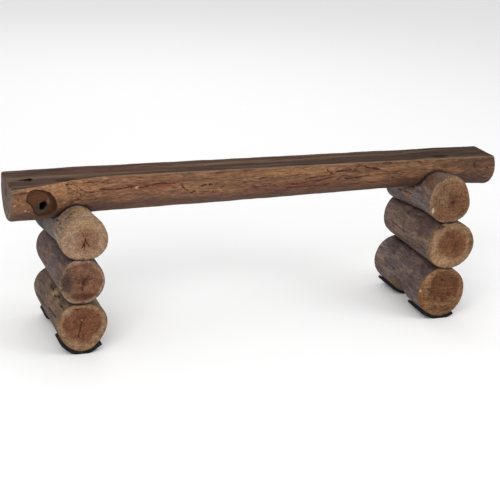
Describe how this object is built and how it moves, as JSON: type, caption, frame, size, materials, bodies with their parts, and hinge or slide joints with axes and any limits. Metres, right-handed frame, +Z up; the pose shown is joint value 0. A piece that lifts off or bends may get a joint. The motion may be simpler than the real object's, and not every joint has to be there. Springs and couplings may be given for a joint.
{
  "type": "log bench",
  "caption": "Rustic backless bench: a half-log seat notched over two legs of stacked scribed logs, with rubber foot pads.",
  "frame": {"origin": "on the ground under the middle of the bench's length and depth", "axes": "+X along the seat towards the end without the knot hollow, +Y towards the back, +Z up"},
  "size_m": [1.408, 0.305, 0.45],
  "materials": {
    "seat_wood": "weathered",
    "log_wood": "weathered",
    "pad_rubber": "matte",
    "screw_steel": "zinc plated"
  },
  "bodies": {
    "root": {"seat_slab": "seat_wood", "left_top_log": "log_wood", "left_middle_log": "log_wood", "left_bottom_log": "log_wood", "right_top_log": "log_wood", "right_middle_log": "log_wood", "right_bottom_log": "log_wood", "left_front_foot_pad": "pad_rubber", "left_rear_foot_pad": "pad_rubber", "right_front_foot_pad": "pad_rubber", "right_rear_foot_pad": "pad_rubber", "left_front_screw": "screw_steel", "left_rear_screw": "screw_steel", "right_front_screw": "screw_steel", "right_rear_screw": "screw_steel", "left_front_washer": "screw_steel", "left_rear_washer": "screw_steel", "right_front_washer": "screw_steel", "right_rear_washer": "screw_steel"}
  },
  "joints": []
}
